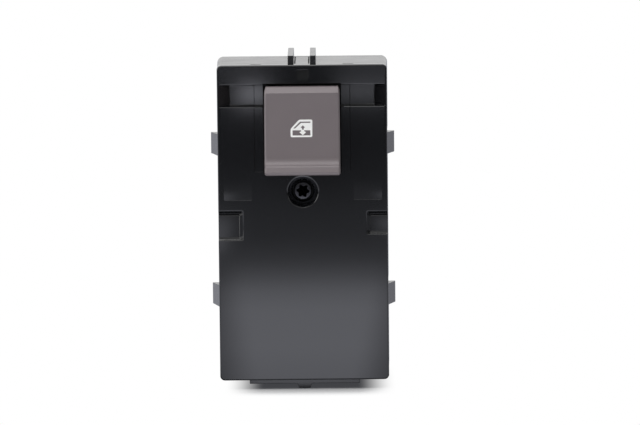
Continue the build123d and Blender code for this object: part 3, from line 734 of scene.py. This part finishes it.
# A screw's head points to the front for a facing of -1. Its spots are sides of the node's box: -1, 0 or 1.
coverScrewLook = {
    "facing": -1, "spots": [(0, 0)], "headRadius": 2.85, "headThick": 1.9, "headRound": 0.8, "headRise": 0.45,
    "footBevel": 0.12, "starRadius": 1.98, "starDepth": 1.1, "shankRadius": 1.45, "threadDepth": 0.3,
    "pitch": 1.1, "length": 9.0, "tip": 1.2, "turn": 0.2, "seed": 5}
rearScrewLook = {
    "facing": 1, "spots": [(-1, 0), (1, 0)], "headRadius": 2.4, "headThick": 1.5, "headRound": 0.9,
    "headRise": 0.8, "footBevel": 0.12, "starRadius": 1.25, "starDepth": 0.8, "shankRadius": 1.4,
    "threadDepth": 0.3, "pitch": 1.1, "length": 8.0, "tip": 1.2, "turn": 1.0, "seed": 5}
boardScrewLook = {
    **rearScrewLook, "spots": [(-1, 1), (1, -1)], "starRadius": 1.15, "shankRadius": 1.2, "threadDepth": 0.25,
    "pitch": 0.9, "length": 6.0, "tip": 1.0, "seed": 9}
screws = [("cover_screw", "coverScrew", coverScrewLook, blackSteel, "black_steel"),
          ("rear_screws", "rearScrews", rearScrewLook, zincSteel, "zinc_steel"),
          ("board_screws", "boardScrews", boardScrewLook, zincSteel, "zinc_steel")]


def buildScrews():
    for node, name, look, finish, slot in screws:
        low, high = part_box(node)
        middle, half = (low + high) / 2, (high - low) / 2
        reach = look["headRadius"] * mm
        seat = middle.y + look["facing"] * (half.y - look["headThick"] * mm)
        spanX, spanZ = half.x - reach, half.z - reach
        places = [(middle.x + x * spanX, seat, middle.z + z * spanZ) for x, z in look["spots"]]
        source = screwMesh(name + "Part", look)
        addCopies(name, source, places, finish, (node,), look["turn"], look["seed"])


# Sections of a pin: share of its width and of its thickness, corner, end it is measured from, distance.
pinLook = {
    "halfWide": 0.75, "halfThick": 0.4, "columns": 4, "rows": 2, "sections": [
        (0.9, 0.85, 0.1, "tail", 0.0), (1.0, 1.0, 0.12, "tail", 0.15), (1.0, 1.0, 0.12, "tip", -1.3),
        (0.725, 0.725, 0.1, "tip", -0.25), (0.45, 0.45, 0.06, "tip", 0.0)]}
# Solder: share of the pad's radius and height above the board.
solderLook = {
    "padRadius": 1.2, "sections": [
        (1.0, -0.05), (1.0, 0.04), (0.97, 0.06), (0.85, 0.3375), (0.72, 0.6375), (0.6, 0.75)]}


def buildPins():
    # Flat pins with tapered tips, and the solder that holds their tails on the board.
    low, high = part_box("terminal_pins")
    halfX, halfZ = pinLook["halfWide"], pinLook["halfThick"]
    ends = {"tail": low.y / mm, "tip": high.y / mm}
    rings = [boxRing(halfX * shareX, halfZ * shareZ, corner, ends[end] + away)
             for shareX, shareZ, corner, end, away in pinLook["sections"]]
    stepX = (high.x - low.x - 2 * halfX * mm) / (pinLook["columns"] - 1)
    stepZ = (high.z - low.z - 2 * halfZ * mm) / (pinLook["rows"] - 1)
    places = [(low.x + halfX * mm + stepX * column, 0.0, low.z + halfZ * mm + stepZ * row)
              for column in range(pinLook["columns"]) for row in range(pinLook["rows"])]
    source = ringMesh("terminalPin", rings)
    addCopies("terminalPins", source, places, tinnedMetal, ("terminal_pins",))
    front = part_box("circuit_board")[0].y / mm
    pad = solderLook["padRadius"]
    rings = [diskRing(pad * share, front - height) for share, height in solderLook["sections"]]
    source = ringMesh("solderJoint", rings)
    addCopies("solderJoints", source, places, tinnedMetal, (), shadeAngle=50)


resistorLook = {"count": 3, "tall": 1.6, "corner": 0.06, "endLength": 0.5, "endGrow": 0.02, "endBevel": 0.05}


def buildResistors():
    low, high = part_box("board_resistors")
    wide, deep = (high.x - low.x) / mm, (high.y - low.y) / mm
    halfTall = resistorLook["tall"] / 2
    rings = [boxRing(wide / 2, halfTall, resistorLook["corner"], y) for y in (0.0, deep)]
    step = (high.z - low.z - 2 * halfTall * mm) / (resistorLook["count"] - 1)
    middleX = (low.x + high.x) / 2
    first = low.z + halfTall * mm
    places = [(middleX, low.y, first + step * number) for number in range(resistorLook["count"])]
    source = ringMesh("resistorBody", rings)
    addCopies("resistorBodies", source, places, chipBlack, ("board_resistors",), shadeAngle=0)
    grow, bevel = resistorLook["endGrow"], resistorLook["endBevel"]
    half = resistorLook["endLength"] / 2
    rings = [boxRing(half, halfTall + grow, bevel, -0.01),
             boxRing(half, halfTall + grow, bevel, deep + grow - bevel),
             boxRing(half - bevel, halfTall + grow - bevel, bevel * 0.8, deep + grow)]
    ends = [(x + side * (wide / 2 - half + grow) * mm, y, z) for x, y, z in places for side in (-1, 1)]
    source = ringMesh("resistorEnd", rings)
    addCopies("resistorEnds", source, ends, tinnedMetal, (), shadeAngle=0)


springShape = {"turns": 4.0, "wire": 0.4, "closedShare": 0.2, "endReach": 0.4}


def buildSprings():
    # Each spring stands between the carriage and one end wall of its guide.
    wire, reach = springShape["wire"] * mm, springShape["endReach"] * mm
    for side in ("upper", "lower"):
        node, name = "return_spring_" + side, "returnSpring" + side.capitalize()
        low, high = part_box(node)
        middle = (low + high) / 2
        mesh = grownMesh(name, coilSpring, {
            "Turns": springShape["turns"], "Radius": (high.x - low.x - wire) / 2, "Wire": wire,
            "Length": high.z - low.z, "Closed Share": springShape["closedShare"], "Finish": springSteel})
        mesh.transform(Matrix.Translation((middle.x, middle.y, low.z)))
        spring = shadeFinely(addPiece(name, mesh, springSteel, None, (node,)), 60)
        if side == "upper":
            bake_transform(spring)
        else:
            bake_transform(spring)


buildScrews()
buildPins()
buildResistors()
buildSprings()
print("small parts dressed")


# Window pictogram, drawn in millimetres about its middle: an outline with a pane that slides up and down.
pictogram = {
    "middle": (-0.2, 77.9), "thick": 0.05, "raised": 0.012, "band": 0.35, "halfBands": 8, "glyphRound": 0.06,
    "frame": [(-3.2, -2.59), (3.16, -2.59), (3.2, 2.57), (-0.7, 2.57), (-3.2, -0.13)], "frameRound": 0.45,
    "airGap": [(-2.42, 0.0), (-1.84, 0.0), (-0.1, 1.6), (2.62, 1.6), (2.62, 1.97), (-0.36, 1.97)],
    "doorSkin": [(-2.62, -2.09), (2.6, -2.09), (2.6, -0.56), (0.82, -0.56), (0.82, -0.86), (1.36, -1.14),
                 (0.38, -2.0), (-0.62, -1.14), (-0.1, -0.86), (-0.1, -0.56), (-2.62, -0.56)],
    "upArrow": [(0.14, -0.38), (0.66, -0.38), (0.66, 0.1), (1.03, 0.27), (0.4, 0.88), (-0.25, 0.27),
                (0.14, 0.1)]}


def roundedLoop(corners, reach, steps=5, sideShare=0.4):
    # Each corner becomes a curve that starts and ends within reach of it.
    points = []
    for index, corner in enumerate(corners):
        here = Vector(corner)
        before = Vector(corners[index - 1]) - here
        after = Vector(corners[(index + 1) % len(corners)]) - here
        start = here + before.normalized() * min(reach, before.length * sideShare)
        end = here + after.normalized() * min(reach, after.length * sideShare)
        for step in range(steps + 1):
            share = step / steps
            points.append((1 - share) ** 2 * start + 2 * share * (1 - share) * here + share ** 2 * end)
    return points


def buildPictogram():
    # Thin printed film that is cut into level bands and laid on the knob's hollow face.
    face = bpy.data.objects["knobCap"].data
    corners = [vert.co for vert in face.vertices]
    surface = BVHTree.FromPolygons(corners, [facet.vertices for facet in face.polygons])
    middleX, middleZ = pictogram["middle"]
    holes = (pictogram[key] for key in ("airGap", "doorSkin", "upArrow"))
    loops = [roundedLoop(pictogram["frame"], pictogram["frameRound"])]
    loops += [roundedLoop(hole, pictogram["glyphRound"], 2) for hole in holes]
    loops = [[Vector(((point.x + middleX) * mm, 0.0, (point.y + middleZ) * mm)) for point in loop]
             for loop in loops]
    shape = bmesh.new()
    verts = [shape.verts.new(point) for loop in loops for point in loop]
    for corners in tessellate_polygon(loops):
        shape.faces.new([verts[index] for index in corners])
    for step in range(-pictogram["halfBands"], pictogram["halfBands"]):
        level = (middleZ + step * pictogram["band"]) * mm
        everything = shape.verts[:] + shape.edges[:] + shape.faces[:]
        bmesh.ops.bisect_plane(shape, geom=everything, plane_co=(0, 0, level), plane_no=(0, 0, 1), dist=1e-7)
    for vert in shape.verts:
        hit = surface.ray_cast(Vector((vert.co.x, -1.0, vert.co.z)), Vector((0, 1, 0)))[0]
        vert.co.y = hit.y - pictogram["raised"] * mm
    shape.normal_update()
    for part in shape.faces:
        if part.normal.y > 0:
            part.normal_flip()
    mesh = meshOf(shape, "windowPictogram")
    piece = addPiece("windowPictogram", mesh, printWhite, "knob", ())
    film = piece.modifiers.new("Film Thickness", "SOLIDIFY")
    film.thickness = pictogram["thick"] * mm
    film.offset = -1.0


buildPictogram()
print("pictogram printed")


# The photo's camera: place in metres, degrees down, to the side and leaning, lens and sensor in millimetres.
photoView = {"place": (0.0071, -1.22625, 0.1856), "down": 6.26, "turn": -0.10, "lean": -0.55,
             "lens": 232.97, "sensor": 36.0, "nearest": 0.05}


def aimCamera():
    data = bpy.data.cameras.new("photoCamera")
    data.lens = photoView["lens"]
    data.sensor_width = photoView["sensor"]
    data.clip_start = photoView["nearest"]
    camera = addObject("photoCamera", data)
    down, turn, lean = (math.radians(photoView[key]) for key in ("down", "turn", "lean"))
    forward = Vector((math.sin(turn) * math.cos(down), math.cos(turn) * math.cos(down), -math.sin(down)))
    right = Vector((math.cos(turn), -math.sin(turn), 0.0))
    up = right.cross(forward)
    leanRight = math.cos(lean) * right + math.sin(lean) * up
    leanUp = -math.sin(lean) * right + math.cos(lean) * up
    axes = Matrix((leanRight, leanUp, -forward)).transposed().to_4x4()
    camera.matrix_world = Matrix.Translation(photoView["place"]) @ axes
    scene.camera = camera


aimCamera()


def bandMask(tree, value, low, high, soft):
    # One between two values, fading to zero over a soft border.
    up = mapRange(tree, value, low - soft, low + soft, 0.0, 1.0)
    down = mapRange(tree, value, high - soft, high + soft, 1.0, 0.0)
    return times(tree, up, down)


# Lengths on the table are metres from the object's middle line and front. A stop is a distance ahead and its
# painted glow. A far patch of painted light is where it starts and ends ahead, its left and right ends, and
# its glow.
tableLook = {
    "size": 8.0, "diffuse": 0.78, "tint": (0.89, 0.905, 1.0),
    "stops": [(0.0, 0.08), (0.014, 0.15), (0.022, 2.38), (0.10, 2.72), (0.19, 2.68), (0.24, 2.2), (0.28, 1.4),
              (0.33, 0.7), (0.40, 0.40), (0.50, 0.33), (0.62, 0.2), (0.75, 0.12), (1.0, 0.08)],
    "litHalfWidth": 0.0188, "litBorder": 0.0077, "litSpread": 0.04, "litSides": 0.45,
    "sidesEnd": (0.24, 0.34),
    "paintedFarPatches": [(1.19, 1.6, -0.2, -0.029, 0.5), (1.19, 1.6, 0.0125, 0.2, 0.52),
                   (1.05, 1.135, -0.0415, -0.0265, 9.0), (1.06, 1.15, 0.012, 0.05, 2.6),
                   (0.355, 0.475, -0.2, -0.0308, 1.5), (0.42, 0.475, 0.0268, 0.2, 1.4)],
    "patchBorder": (0.012, 0.004), "besideReach": 0.1, "besideGlow": (0.95, 0.65), "besideBorder": 0.02}
shadowLook = {
    "cameraWhite": 1.15, "reach": 0.02, "depth": 1.6, "glow": 0.06, "across": (-0.018, 0.0215),
    "along": (-0.024, 0.03), "border": 0.006}


def buildPaintedTableGlow(tree, place):
    # What gloss sees: painted light, a glow of the table itself with no lamp. It is a lit part that ends in
    # front of the object, some lit patches farther off, and a lit table behind, which the gloss shows as
    # painted reflections.
    ahead = times(tree, place.outputs["Y"], -1.0)
    ramp = addNode(tree, "ShaderNodeValToRGB", {"Fac": ahead})
    elements = ramp.color_ramp.elements
    while len(elements) < len(tableLook["stops"]):
        elements.new(0.5)
    for element, (at, glow) in zip(elements, tableLook["stops"]):
        element.position = at
        element.color = (glow, glow, glow, 1.0)
    level = addNode(tree, "ShaderNodeSeparateColor", {0: ramp.outputs[0]}).outputs[0]
    spread = times(tree, ahead, tableLook["litSpread"])
    sideways = mathNode(tree, "SUBTRACT", mathNode(tree, "ABSOLUTE", place.outputs["X"]), spread)
    border = tableLook["litBorder"]
    narrow = mapRange(tree, sideways, tableLook["litHalfWidth"] - border, tableLook["litHalfWidth"] + border,
                      1.0, tableLook["litSides"])
    wide = mapRange(tree, ahead, *tableLook["sidesEnd"], 0.0, 1.0)
    glow = times(tree, level, mathNode(tree, "MAXIMUM", narrow, wide))
    alongBorder, acrossBorder = tableLook["patchBorder"]
    # Each far patch is a pool of painted light on the table.
    for start, end, left, right, strength in tableLook["paintedFarPatches"]:
        along = bandMask(tree, ahead, start, end, alongBorder)
        across = bandMask(tree, place.outputs["X"], left, right, acrossBorder)
        patch = times(tree, times(tree, along, across), strength)
        glow = mathNode(tree, "MAXIMUM", glow, patch)
    reach = tableLook["besideReach"]
    beside = mapRange(tree, place.outputs["X"], -reach, reach, *tableLook["besideGlow"])
    behind = mapRange(tree, place.outputs["Y"], 0.0, tableLook["besideBorder"], 0.0, 1.0)
    glow = mathNode(tree, "MAXIMUM", glow, times(tree, behind, beside))
    return addNode(tree, "ShaderNodeEmission", {"Color": rgba(tableLook["tint"]), "Strength": glow})


def buildContactShadow(tree, place):
    # What the camera sees: plain white, and near the object a table that is darker the less open it lies.
    openness = addNode(tree, "ShaderNodeAmbientOcclusion", {"Distance": shadowLook["reach"]}, {"samples": 8})
    depth = mathNode(tree, "POWER", openness.outputs["AO"], shadowLook["depth"])
    level = times(tree, depth, shadowLook["cameraWhite"])
    tone = addNode(tree, "ShaderNodeCombineColor", {0: level, 1: level, 2: level})
    shaded = addNode(tree, "ShaderNodeBsdfDiffuse", {"Color": tone.outputs[0]})
    glimmer = addNode(tree, "ShaderNodeEmission", {
        "Color": rgba(tableLook["tint"]), "Strength": shadowLook["glow"]})
    dark = addNode(tree, "ShaderNodeAddShader", {0: shaded.outputs[0], 1: glimmer.outputs[0]})
    white = addNode(tree, "ShaderNodeEmission", {"Color": (1, 1, 1, 1), "Strength": 1.0})
    across = bandMask(tree, place.outputs["X"], *shadowLook["across"], shadowLook["border"])
    along = bandMask(tree, place.outputs["Y"], *shadowLook["along"], shadowLook["border"])
    near = times(tree, across, along)
    return addNode(tree, "ShaderNodeMixShader", {0: near, 1: white.outputs[0], 2: dark.outputs[0]})


def buildTable():
    material = bpy.data.materials.new("tableWhite")
    material.use_nodes = True
    tree = material.node_tree
    tree.nodes.clear()
    position = addNode(tree, "ShaderNodeNewGeometry").outputs["Position"]
    place = addNode(tree, "ShaderNodeSeparateXYZ", {0: position})
    plain = addNode(tree, "ShaderNodeBsdfDiffuse", {"Color": rgba((tableLook["diffuse"],) * 3)})
    rays = addNode(tree, "ShaderNodeLightPath")
    glow, shadow = buildPaintedTableGlow(tree, place), buildContactShadow(tree, place)
    unseen = addNode(tree, "ShaderNodeMixShader", {
        0: rays.outputs["Is Glossy Ray"], 1: plain.outputs[0], 2: glow.outputs[0]})
    surface = addNode(tree, "ShaderNodeMixShader", {
        0: rays.outputs["Is Camera Ray"], 1: unseen.outputs[0], 2: shadow.outputs[0]})
    addNode(tree, "ShaderNodeOutputMaterial", {"Surface": surface.outputs[0]})
    half = tableLook["size"] / 2
    mesh = bpy.data.meshes.new("tableTop")
    corners = [(-half, -half, 0), (half, -half, 0), (half, half, 0), (-half, half, 0)]
    mesh.from_pydata(corners, [], [range(4)])
    mesh.materials.append(material)
    addObject("tableTop", mesh)


# Glow of each part of the room, and the span of direction over which it comes up.
roomLook = {"fill": 0.5, "horizon": 0.1, "front": 0.8, "frontSpan": (0.0, 0.3), "frontHigh": 0.25,
            "highSpan": (0.33, 0.45), "screen": 1.05, "screenSpan": (0.1, 0.6), "screenLeft": 0.5,
            "screenRight": 0.35, "sideSpan": (0.12, 0.5), "ceiling": 2.0, "ceilingSpan": (0.52, 0.82)}


def buildRoom():
    # White to the eye. Gloss sees a white screen behind the object, dimmer to its sides, a lit ceiling and a
    # dim room in front.
    world = bpy.data.worlds.new("studio")
    scene.world = world
    world.use_nodes = True
    tree = world.node_tree
    tree.nodes.clear()
    direction = addNode(tree, "ShaderNodeTexCoord").outputs["Generated"]
    sideways, backward, upward = addNode(tree, "ShaderNodeSeparateXYZ", {0: direction}).outputs
    inner, outer = roomLook["sideSpan"]
    left = mapRange(tree, sideways, -outer, -inner, roomLook["screenLeft"], roomLook["screen"])
    right = mapRange(tree, sideways, inner, outer, roomLook["screen"], roomLook["screenRight"])
    screen = mathNode(tree, "MINIMUM", left, right)
    low = mapRange(tree, upward, *roomLook["frontSpan"], roomLook["horizon"], roomLook["front"])
    high = mapRange(tree, upward, *roomLook["highSpan"], roomLook["front"], roomLook["frontHigh"])
    front = mathNode(tree, "MINIMUM", low, high)
    walls = mapRange(tree, backward, *roomLook["screenSpan"], front, screen)
    ceiling = mapRange(tree, upward, *roomLook["ceilingSpan"], 0.0, roomLook["ceiling"])
    glow = mathNode(tree, "MAXIMUM", walls, ceiling)
    rays = addNode(tree, "ShaderNodeLightPath")
    fill = addNode(tree, "ShaderNodeMix", {0: rays.outputs["Is Glossy Ray"], 2: roomLook["fill"], 3: glow})
    shown = mathNode(tree, "MAXIMUM", rays.outputs["Is Camera Ray"], rays.outputs["Is Transmission Ray"])
    level = addNode(tree, "ShaderNodeMix", {0: shown, 2: fill.outputs[0], 3: 1.0})
    background = addNode(tree, "ShaderNodeBackground", {"Color": (1, 1, 1, 1), "Strength": level.outputs[0]})
    addNode(tree, "ShaderNodeOutputWorld", {"Surface": background.outputs[0]})


# Each softbox: name, place, width, height, power in watts. All point at the object's middle.
softboxes = [("overheadSoftbox", (-0.25, -0.25, 0.9), 0.9, 0.7, 4.8),
             ("leftSoftbox", (-0.8, -0.35, 0.35), 0.5, 0.6, 3.4)]
lampTarget = (0, 0, 0.05)


def addSoftbox(name, place, width, height, power):
    data = bpy.data.lights.new(name, "AREA")
    data.shape = "RECTANGLE"
    data.size = width
    data.size_y = height
    data.energy = power
    lamp = addObject(name, data)
    lamp.location = place
    lamp.rotation_euler = (Vector(lampTarget) - Vector(place)).to_track_quat("-Z", "Y").to_euler()


buildTable()
buildRoom()
for softbox in softboxes:
    addSoftbox(*softbox)
print("studio built")
